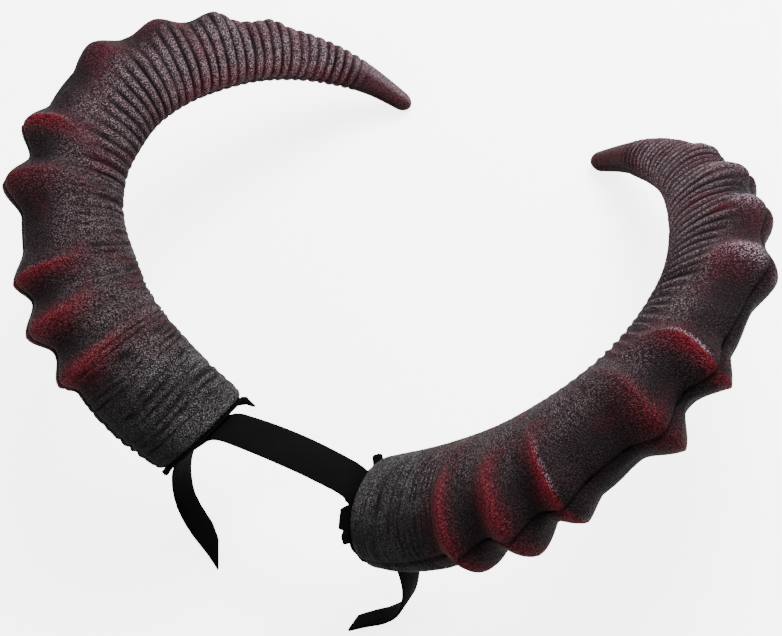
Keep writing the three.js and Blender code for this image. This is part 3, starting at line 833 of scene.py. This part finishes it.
def horn_paint(grain, brush):
    """Charcoal and maroon foam skin with red knobs, a pale speckle that is partly painted light, painted
    highlights on the crests, and painted shade in the grooves, creases and hollows and in the low parts of
    the grain.
    """
    material, tree, shader = new_material("foam_horn_paint", Metallic=0.0, Specular_IOR_Level=0.03)

    def value_of(name):
        return add_node(tree, "ShaderNodeAttribute", attribute_name=name).outputs["Fac"]

    skin = add_node(tree, "ShaderNodeAttribute", attribute_name="skin_place").outputs["Vector"]
    grains = use_group(tree, grain, {
        "Place": skin, "Cell size": 0.00100, "Crumble": 0.5, "Stretch": (1.1, 0.9, 1.0)})
    height, speckle, patches = (grains.outputs[name] for name in ("Height", "Speckle", "Patches"))
    ground = ramp(tree, value_of("share"), GROUND_COLOURS)
    cool = times(tree, remap(tree, patches, 0.42, 0.62), COOL_SHARE)
    ground = mix_colours(tree, cool, ground, COOL_PATCH)
    warm = times(tree, remap(tree, patches, 0.50, 0.36), remap(tree, value_of("share"), 0.10, 0.22))
    ground = mix_colours(tree, times(tree, warm, WARM_SHARE), ground, WARM_PATCH)
    even = add_node(tree, "ShaderNodeMix", {0: value_of("plain"), 2: speckle, 3: EVEN_SPECKLE}).outputs[0]
    # Pale speckle, a dusting and painted light together: more on the rib crests, none in the grooves
    dust_and_light_mask = times(tree, value_of("dust"), remap(tree, patches, 0.34, 0.62, 0.45, 1.0))
    rib = times(tree, value_of("groove"), RIB_GAIN, clamp=True)
    dust_and_light_mask = calc(tree, "ADD", dust_and_light_mask, times(tree, rib, RIB_DUST_AND_LIGHT), clamp=True)
    unsunk = calc(tree, "SUBTRACT", 1.0, calc(tree, "MAXIMUM", value_of("groove"), 0.0), clamp=True)
    dust_and_light_mask = times(tree, times(tree, dust_and_light_mask, unsunk), even)
    painted = ground
    # Red paint, then the pale speckle that is a dusting and painted light together, then the painted
    # highlights on the crests
    for paint, mask, crumbs, raggedness in (
            (KNOB_RED, value_of("red"), speckle, 0.4),
            (ramp(tree, value_of("share"), DUST_AND_LIGHT_COLOURS), dust_and_light_mask, even, 0.3),
            (HIGHLIGHT_PALE, times(tree, value_of("rim_light"), HIGHLIGHT_SHARE), speckle, 0.9)):
        painted = use_group(tree, brush, {
            "Under": painted, "Paint": paint, "Mask": mask, "Grain": crumbs,
            "Raggedness": raggedness}).outputs["Color"]
    # Painted light and shade of the grain: darker in its low parts, lighter on its raised cells
    grain_lit_and_shaded = scaled(tree, painted, remap(tree, height, 0.15, 1.1, 0.40, 1.35))
    # Painted shade in the grooves and creases, and the sooty dark with painted shade in the hollows and
    # along the seam, all go towards black
    depth = calc(tree, "MAXIMUM", times(tree, value_of("groove"), GROOVE_SHADE),
                 times(tree, value_of("crease"), CREASE_SHADE))
    dark = calc(tree, "MAXIMUM", depth, times(tree, value_of("soot"), SOOT_AND_SHADE_DARK))
    final = mix_colours(tree, dark, grain_lit_and_shaded, SHADE_AND_SOOT_BLACK)
    dress(tree, shader, final, remap(tree, height, 0.1, 1.2, 0.70, 0.45), height, 1.0, 0.0006)
    return material


FELT_COLOURS = ((0.2, (0.0006, 0.0006, 0.0006)), (0.9, (0.0024, 0.0024, 0.0025)))


def felt_cloth(grain):
    """Near black felt with a crumbly face."""
    material, tree, shader = new_material("plate_felt", Metallic=0.0, Specular_IOR_Level=0.02)
    place = add_node(tree, "ShaderNodeTexCoord").outputs["Object"]
    grains = use_group(tree, grain, {"Place": place, "Cell size": 0.0006, "Crumble": 1.2}).outputs
    shade = ramp(tree, grains["Height"], FELT_COLOURS)
    roughness = remap(tree, grains["Patches"], 0.3, 0.7, 0.88, 0.98)
    dress(tree, shader, shade, roughness, grains["Height"], 0.8, 0.0005)
    return material


CLOTH_COLOURS = ((0.0, (0.0007, 0.0007, 0.0007)), (1.0, (0.0030, 0.0030, 0.0031)))
THREAD = 0.00055  # metres from thread to thread
DIAGONAL_SHARE, THREAD_SHARE, CRUMB_SHARE = 0.5, 0.35, 0.4


def band_cloth(grain):
    """Fine twill over the strip, woven along its own length."""
    material, tree, shader = new_material("band_cloth", Metallic=0.0, Specular_IOR_Level=0.02)
    strip = add_node(tree, "ShaderNodeUVMap", uv_map="strip").outputs[0]
    split = add_node(tree, "ShaderNodeSeparateXYZ", {0: strip}).outputs
    turns = 2 * math.pi / THREAD
    slant = calc(tree, "ADD", split["X"], split["Y"])
    diagonal = calc(tree, "SINE", times(tree, slant, turns))
    threads = calc(tree, "SINE", times(tree, split["Y"], turns * 0.5))
    grains = use_group(tree, grain, {"Place": strip, "Cell size": 0.0009, "Crumble": 0.8}).outputs
    weave = calc(tree, "ADD", times(tree, diagonal, DIAGONAL_SHARE),
                 times(tree, threads, THREAD_SHARE))
    weave = calc(tree, "MULTIPLY_ADD", grains["Height"], CRUMB_SHARE, weave)
    shade = ramp(tree, remap(tree, weave, -0.8, 1.2), CLOTH_COLOURS)
    roughness = remap(tree, grains["Patches"], 0.3, 0.7, 0.72, 0.86)
    dress(tree, shader, shade, roughness, weave, 0.6, 0.00015)
    return material


grain = grain_group()
brush = brush_group()
horn_material = horn_paint(grain, brush)
felt_material = felt_cloth(grain)
band_material = band_cloth(grain)
groove_tree = transverse_groove_tree()


# Grooves over a horn: first the ribs, then fine creases. Ribs of the left horn are broad and
# rounded, and those of the right horn thin crests. Sizes here are in metres.
RIBS = {
    "both": {"Mask_name": "ribbed", "Kept_name": "groove", "Shrink_per_metre": -0.74,
             "Unevenness": 0.35, "Wander": 0.30, "Wander_scale": 14.0},
    "left": {"Spacing": 0.0126, "Groove_share": 0.30, "Crest_share": 0.30, "Depth": 0.0015,
             "Crest_lift": 0.0004},
    "right": {"Spacing": 0.0104, "Groove_share": 0.46, "Crest_share": 0.18, "Depth": 0.0010,
              "Crest_lift": 0.0009},
}
CREASES = {
    "both": {"Mask_name": "creased", "Kept_name": "crease", "Shrink_per_metre": -0.2,
             "Unevenness": 1.4, "Wander": 1.6, "Wander_scale": 22.0, "Least_strength": 0.15,
             "Patch_scale": 60.0},
    "left": {"Spacing": 0.0078, "Groove_share": 0.34, "Depth": 0.0014, "Crest_lift": 0.0003},
    "right": {"Spacing": 0.0046, "Groove_share": 0.34, "Depth": 0.0005, "Crest_lift": 0.0002},
}
RIB_SEED, CREASE_SEED = 3.0, 8.0


def make_horn(label):
    side = SIDES[label]
    for part, half in (("upper", side), ("lower", -side)):
        name = f"foam_{label}_{part}"
        piece = new_object(name, horn_mesh(name, label, half))
        for grooves, seed in ((RIBS, RIB_SEED), (CREASES, CREASE_SEED)):
            give_modifier(piece, groove_tree, Seed=seed + side, Material=horn_material,
                          **grooves["both"], **grooves[label])
        freeze(piece)
        smooth_shading(piece.data, HORN_SHARP)
        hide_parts(f"horn_{label}_{part}_half")
        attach(piece, "root")


def wander(count, seed, smoothing):
    """A smooth random line from -1 to 1, the same each run, that meets itself at its ends."""
    values = np.random.RandomState(seed).uniform(-1, 1, count)
    window = np.hanning(smoothing + 2)[1:-1]
    ring = np.concatenate([values] * 3)
    smooth = np.convolve(ring, window / window.sum(), "same")[count:2 * count]
    return smooth / np.abs(smooth).max()


# Tabs of felt that stand out past a horn: middle and half width in degrees round the base, from
# the knobbed edge by way of the upper half, how far they stand out, and how far they flare away
# from the horn
Tab = namedtuple("Tab", "middle width out flare")
PLATE_TABS = {
    "left": (Tab(174, 7, -0.8, 8.0), Tab(164, 5, -0.4, 10.0), Tab(154, 6, 1.4, 10.5),
             Tab(2, 8, 1.2, 1.5), Tab(330, 10, 1.5, 2.0)),
    "right": (Tab(58, 17, 4.6, 1.0), Tab(80, 7, 3.2, 0.5), Tab(36, 10, 3.2, 0.5),
              Tab(136, 9, 3.6, 2.0), Tab(300, 14, 1.5, 2.0)),
}
PLATE_POINTS = 300
PLATE_INSET = 2.4  # how far inside the skin's full outline the felt ends
PLATE_WANDER = ((0.7, 5, 9), (0.35, 9, 2))  # how far the edge wanders, seed, smoothing
PLATE_TOP = -GLUE_GAP
PLATE_MIDDLE = PLATE_TOP - PLATE_THICKNESS / 2
PLATE_BOTTOM = PLATE_TOP - PLATE_THICKNESS
PLATE_EDGE_ROUND = 0.35
# Rings of points over a plate: share of the way from its middle to its edge, and height
PLATE_FACE = (0.30, 0.75, 0.93, 0.985)
PLATE_RINGS = [(share, PLATE_TOP) for share in PLATE_FACE]
PLATE_RINGS += [(1.0, PLATE_TOP - PLATE_EDGE_ROUND), (0.988, PLATE_MIDDLE)]
PLATE_RINGS += [(1.0, PLATE_BOTTOM + PLATE_EDGE_ROUND)]
PLATE_RINGS += [(share, PLATE_BOTTOM) for share in PLATE_FACE[::-1]]
FLARE_TOP_SHARE = 0.35  # how much of the flare the side next to the horn takes


def make_plate(label):
    side = SIDES[label]
    turn = np.linspace(0, 2 * np.pi, PLATE_POINTS, endpoint=False)
    rim = skin_points(np.zeros(PLATE_POINTS), np.minimum(turn, 2 * np.pi - turn))
    across = rim[:, 1]
    deep = np.where(turn > np.pi, -rim[:, 2], rim[:, 2])
    reach = np.hypot(across, deep)
    margin = sum(far * wander(PLATE_POINTS, seed + side, smoothing)
                 for far, seed, smoothing in PLATE_WANDER) - PLATE_INSET
    flare = np.zeros(PLATE_POINTS)
    degrees = np.degrees(turn)
    for tab in PLATE_TABS[label]:
        away = np.abs((degrees - tab.middle + 180) % 360 - 180)
        there = fade(away, tab.width, tab.width * 0.5)
        margin += (tab.out + PLATE_INSET) * there
        flare += tab.flare * there
    grow = (reach + margin) / reach
    edge = np.stack([across * grow, deep * grow], axis=1)
    rows = []
    for share, height in PLATE_RINGS:
        flare_share = 1.0 if height < PLATE_MIDDLE else FLARE_TOP_SHARE
        bent = height - flare * fade(share, 0.86, 1.0) * flare_share
        rows.append(np.column_stack([bent, edge * share]))
    parts = MeshParts()
    numbers = parts.add_grid(np.stack(rows))
    numbers = np.concatenate([numbers, numbers[:, :1]], axis=1)
    top_cap = parts.add_point(PLATE_TOP, 0, 0)
    bottom_cap = parts.add_point(PLATE_BOTTOM, 0, 0)
    parts.cover(numbers, True)
    parts.fan(numbers[0], top_cap, False)
    parts.fan(numbers[-1], bottom_cap, True)
    name = f"felt_plate_{label}"
    mesh = parts.mesh(name, horn_placement(side), side < 0)
    mesh.materials.append(felt_material)
    smooth_shading(mesh, FELT_SHARP)
    piece = new_object(name, mesh)
    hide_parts(f"base_plate_{label}")
    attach(piece, "root")


def hoop_route():
    """Stops along half of the hoop, each with place across and up, heading and length so far, and
    the length at which the horn's seat ends."""
    stops = [(0.0, 0.0, 0.0, 0.0)]

    def advance(way, length, turn=0.0):
        x, z, heading, run = stops[-1]
        stops.append((x + math.cos(way) * length, z - math.sin(way) * length, heading + turn, run + length))

    def run_arc(radius, turn):
        steps = max(2, math.ceil(turn / ARC_STEP))
        bend = math.radians(turn) / steps
        for _ in range(steps):
            advance(stops[-1][2] + bend / 2, 2 * radius * math.sin(bend / 2), bend)

    def run_straight(length):
        for _ in range(STRAIGHT_STEPS):
            advance(stops[-1][2], length / STRAIGHT_STEPS)

    crown, shoulder, side, foot = HOOP_ARCS
    run_arc(*crown)
    run_arc(*shoulder)
    run_straight(HOOP_SEAT)
    seat_end = stops[-1][3]
    run_arc(*side)
    run_arc(*foot)
    run_straight(HOOP_END)
    return np.array(stops), seat_end


def band_section():
    """Points round the strip's section: the side each is on, across and up, and after each of
    these what the rounding adds, in times its radius."""
    section = []
    for across, up in ((1, 1), (1, -1), (-1, -1), (-1, 1)):
        for degrees in BAND_CORNER if across * up > 0 else BAND_CORNER[::-1]:
            angle = math.radians(degrees)
            section.append((across, math.cos(angle) - 1, up, math.sin(angle) - 1))
    return section


def band_grid(stops, seat_end):
    """Rows of points round the strip, from its left end to its right end."""
    length = stops[-1, 3]
    mirrored = stops[::-1][:-1] * (-1, 1, -1, 1)
    x, z, heading, run = np.concatenate([mirrored, stops]).T
    count = len(x)
    half_width = (BAND_WIDTH + (BAND_END_WIDTH - BAND_WIDTH) * (run / length) ** BAND_TAPER) / 2
    beyond = np.clip(run - seat_end, 0, None) / (length - seat_end)
    sweep = HOOP_SWEEP * beyond ** SWEEP_CURVE
    edges = {1: wander(count, 21, 3), -1: wander(count, 22, 3)}
    section = band_section()
    columns = []
    for across, back, up, down in section:
        edge = half_width + BAND_EDGE_WANDER * 0.5 * edges[across] + back * BAND_EDGE_ROUND
        off = up * (BAND_THICKNESS / 2 + down * BAND_EDGE_ROUND)
        columns.append(np.column_stack([
            x + np.sin(heading) * off, across * edge - sweep, z + np.cos(heading) * off]))
    grid = np.stack(columns, axis=1)
    left_run = np.where(x < 0, run, 0)
    cut = LEFT_END_CUT * fade(left_run, length - LEFT_END_BEND, length)
    drift = LEFT_END_DRIFT * fade(left_run, length - LEFT_END_DRIFT_BEND, length)
    way = np.stack([-np.cos(heading), np.zeros(count), np.sin(heading)], axis=1)
    side_share = np.array([across for across, *_ in section])
    grid -= cut[:, None, None] * side_share[None, :, None] * way[:, None, :]
    grid[:, :, 1] += drift[:, None] * (side_share > 0)[None, :]
    return grid, np.sign(x) * run


def give_strip_uv(mesh, grid, signed_run):
    """UVs in metres: along the strip, and round its section."""
    ring = grid.shape[1]
    steps = np.linalg.norm(np.diff(grid[len(grid) // 2], axis=0), axis=1)
    round_length = np.concatenate([[0], np.cumsum(steps)])
    point_at = np.empty(len(mesh.loops), dtype=int)
    mesh.loops.foreach_get("vertex_index", point_at)
    pairs = np.column_stack([signed_run[point_at // ring], round_length[point_at % ring]]) * MM
    mesh.uv_layers.new(name="strip").data.foreach_set("uv", pairs.ravel())


def make_band():
    grid, signed_run = band_grid(*hoop_route())
    parts = MeshParts()
    numbers = parts.add_grid(grid)
    parts.cover(np.concatenate([numbers, numbers[:, :1]], axis=1), False)
    parts.faces.append(tuple(numbers[0].tolist()))
    parts.faces.append(tuple(numbers[-1][::-1].tolist()))
    mesh = parts.mesh("cloth_strip", lay_down(), False)
    give_strip_uv(mesh, grid, signed_run)
    mesh.materials.append(band_material)
    smooth_shading(mesh, STRIP_SHARP)
    piece = new_object("cloth_strip", mesh)
    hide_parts("headband")
    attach(piece, "root")


for label in SIDES:
    make_horn(label)
for label in SIDES:
    make_plate(label)
make_band()

# Camera: where it stands, the spot on the table that it looks at, and how it is turned about
# its own line of sight
CAMERA_PLACE = Vector((0.3540, -0.1920, 0.9287))
CAMERA_AIM = Vector((-0.0179, 0.0228, 0.0))
CAMERA_ROLL = -36.95
PHOTO_WIDTH = 782
FOCAL_PIXELS = 1257
SENSOR = 36.0


def make_camera():
    data = bpy.data.cameras.new("camera")
    data.sensor_width = SENSOR
    data.lens = SENSOR * FOCAL_PIXELS / PHOTO_WIDTH
    camera = new_object("camera", data)
    forward = (CAMERA_AIM - CAMERA_PLACE).normalized()
    level = forward.cross(Vector((0, 0, 1))).normalized()
    above = level.cross(forward)
    roll = math.radians(CAMERA_ROLL)
    right = level * math.cos(roll) + above * math.sin(roll)
    up = right.cross(forward)
    turn = Matrix((right, up, -forward)).transposed().to_4x4()
    camera.matrix_world = Matrix.Translation(CAMERA_PLACE) @ turn
    bpy.context.scene.camera = camera


# Lights: place and width in metres, and watts. All of them aim at the same spot.
LIGHTS = {
    "key": (Vector((0.20, 0.98, 1.15)), 0.9, 62),
    "fill": (Vector((-0.9, -0.5, 1.3)), 1.4, 14),
}
LIGHT_AIM = Vector((0.0, 0.0, 0.05))
SKY_STRENGTH = 0.9
FLOOR_REACH = 6.0  # metres
FLOOR_COLOUR = colour(0.92, 0.92, 0.91)
FLOOR_GLOW = 4.0  # for the camera only, so that it lights nothing
WHITE = colour(1.0, 1.0, 1.0)


def make_light(name, place, size, watts):
    data = bpy.data.lights.new(name, "AREA")
    data.shape = "DISK"
    data.size = size
    data.energy = watts
    light = new_object(name, data)
    light.location = place
    light.rotation_euler = (LIGHT_AIM - place).to_track_quat("-Z", "Y").to_euler()


def make_room():
    """A pale floor and plain soft light."""
    floor_mesh = bpy.data.meshes.new("floor")
    corners = [(x * FLOOR_REACH, y * FLOOR_REACH, 0) for x, y in ((-1, -1), (1, -1), (1, 1), (-1, 1))]
    floor_mesh.from_pydata(corners, [], [(0, 1, 2, 3)])
    floor = new_object("floor", floor_mesh)
    material, tree, shader = new_material(
        "pale_floor", Base_Color=FLOOR_COLOUR, Roughness=0.9, Emission_Color=WHITE)
    seen = add_node(tree, "ShaderNodeLightPath").outputs["Is Camera Ray"]
    tree.links.new(times(tree, seen, FLOOR_GLOW), shader.inputs["Emission Strength"])
    floor_mesh.materials.append(material)
    world = bpy.data.worlds.new("studio")
    world.use_nodes = True
    sky = world.node_tree.nodes["Background"]
    sky.inputs["Color"].default_value = WHITE
    sky.inputs["Strength"].default_value = SKY_STRENGTH
    bpy.context.scene.world = world
    for name, (place, size, watts) in LIGHTS.items():
        make_light(name, place, size, watts)


make_camera()
make_room()
